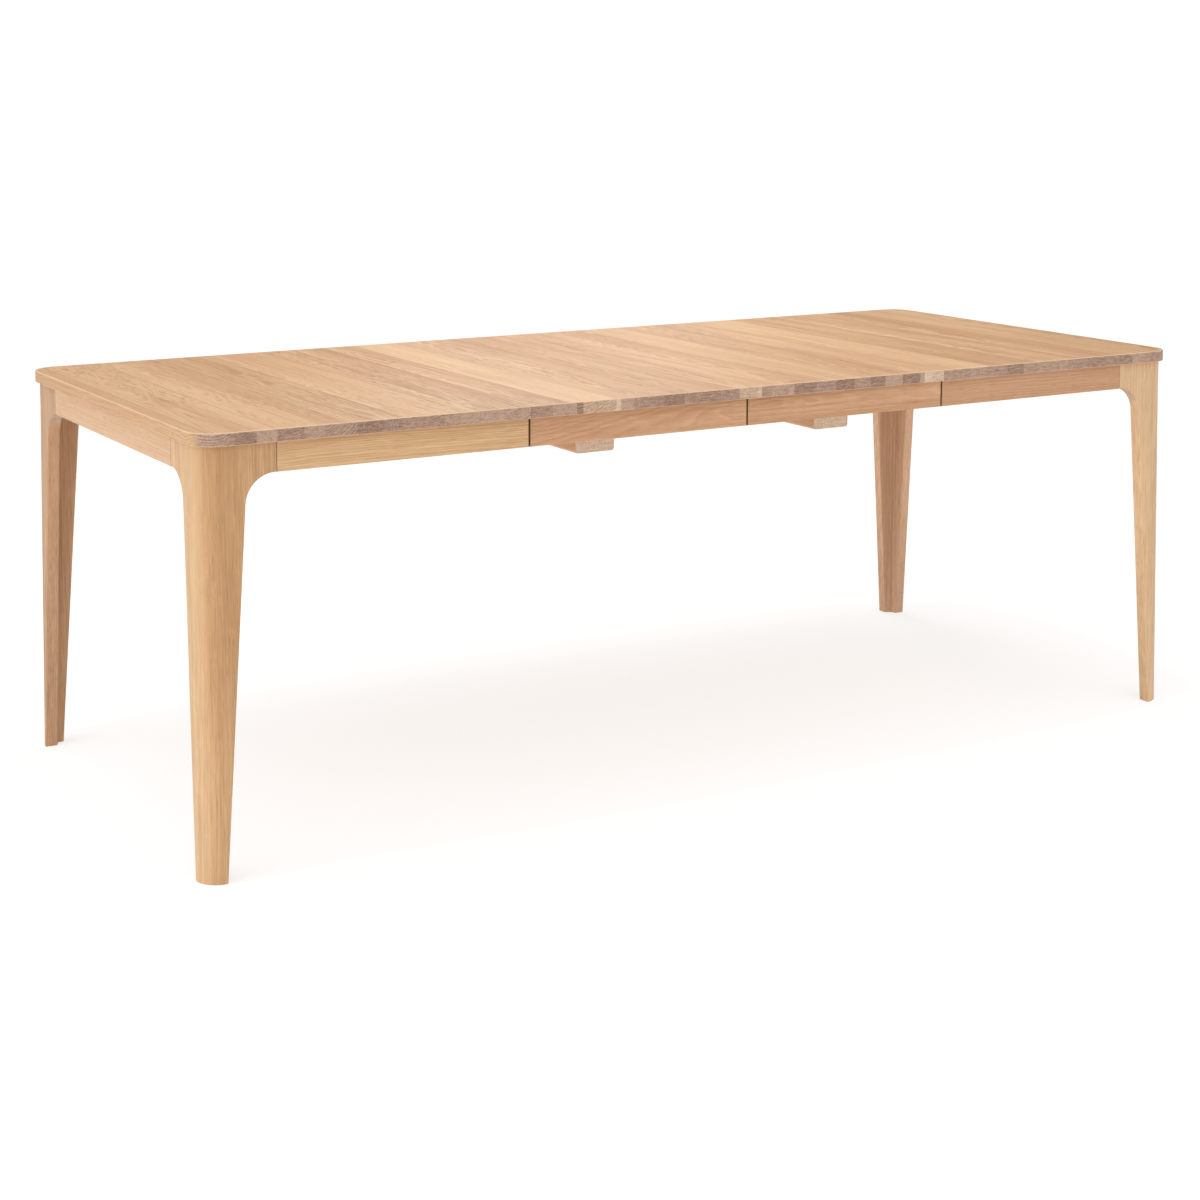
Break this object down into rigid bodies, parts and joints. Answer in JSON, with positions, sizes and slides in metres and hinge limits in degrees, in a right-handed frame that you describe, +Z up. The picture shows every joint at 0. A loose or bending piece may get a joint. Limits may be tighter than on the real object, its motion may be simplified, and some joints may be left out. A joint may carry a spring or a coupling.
{
  "type": "extending dining table",
  "caption": "Rectangular oak dining table with swept L-shaped corner legs, halves that slide apart on a rail frame, and drop-in leaves between them.",
  "frame": {"origin": "on the floor, under the middle of the extended table", "axes": "+X along the table's length, towards the right half; -Y towards the front; +Z up"},
  "size_m": [2.1, 0.9, 0.735],
  "materials": {
    "oak_top": "matt oil",
    "oak_aprons": "matt oil",
    "oak_legs": "matt oil",
    "oak_battens": "matt oil",
    "beech_slides": "waxed",
    "pale_blocks": "planed",
    "beech_pegs": "turned",
    "zinc_steel": "zinc plated",
    "pressed_steel": "zinc plated",
    "felt": "pressed felt"
  },
  "bodies": {
    "centre_frame": {"centre_rail_front": "beech_slides", "centre_rail_back": "beech_slides", "left_batten": "oak_battens", "right_batten": "oak_battens", "batten_screws": "zinc_steel", "stop_pins": "zinc_steel"},
    "left_half": {"left_top": "oak_top", "left_end_apron": "oak_aprons", "left_front_apron": "oak_aprons", "left_back_apron": "oak_aprons", "left_front_leg": "oak_legs", "left_back_leg": "oak_legs", "left_corner_blocks": "pale_blocks", "left_corner_screws": "zinc_steel", "left_apron_dowels": "beech_pegs", "left_top_brackets": "pressed_steel", "left_bracket_screws": "zinc_steel", "left_front_runner": "beech_slides", "left_back_runner": "beech_slides", "left_runner_screws": "zinc_steel"},
    "right_half": {"right_top": "oak_top", "right_end_apron": "oak_aprons", "right_front_apron": "oak_aprons", "right_back_apron": "oak_aprons", "right_front_leg": "oak_legs", "right_back_leg": "oak_legs", "right_corner_blocks": "pale_blocks", "right_corner_screws": "zinc_steel", "right_apron_dowels": "beech_pegs", "right_top_brackets": "pressed_steel", "right_bracket_screws": "zinc_steel", "right_front_runner": "beech_slides", "right_back_runner": "beech_slides", "right_runner_screws": "zinc_steel"},
    "left_leaf": {"left_leaf_top": "oak_top", "left_leaf_front_apron": "oak_aprons", "left_leaf_back_apron": "oak_aprons", "left_leaf_glue_blocks": "pale_blocks", "left_leaf_pegs": "beech_pegs", "left_leaf_rest_pads": "felt"},
    "right_leaf": {"right_leaf_top": "oak_top", "right_leaf_front_apron": "oak_aprons", "right_leaf_back_apron": "oak_aprons", "right_leaf_glue_blocks": "pale_blocks", "right_leaf_pegs": "beech_pegs", "right_leaf_rest_pads": "felt"}
  },
  "joints": [
    {"name": "left_half_slide", "type": "slide", "parent": "centre_frame", "child": "left_half", "axis": [-1, 0, 0], "range_m": [0, 0.045]},
    {"name": "right_half_slide", "type": "slide", "parent": "centre_frame", "child": "right_half", "axis": [1, 0, 0], "range_m": [0, 0.045]},
    {"name": "left_leaf_lift", "type": "slide", "parent": "centre_frame", "child": "left_leaf", "axis": [0, 0, 1], "range_m": [0, 0.15]},
    {"name": "right_leaf_lift", "type": "slide", "parent": "centre_frame", "child": "right_leaf", "axis": [0, 0, 1], "range_m": [0, 0.15]}
  ]
}
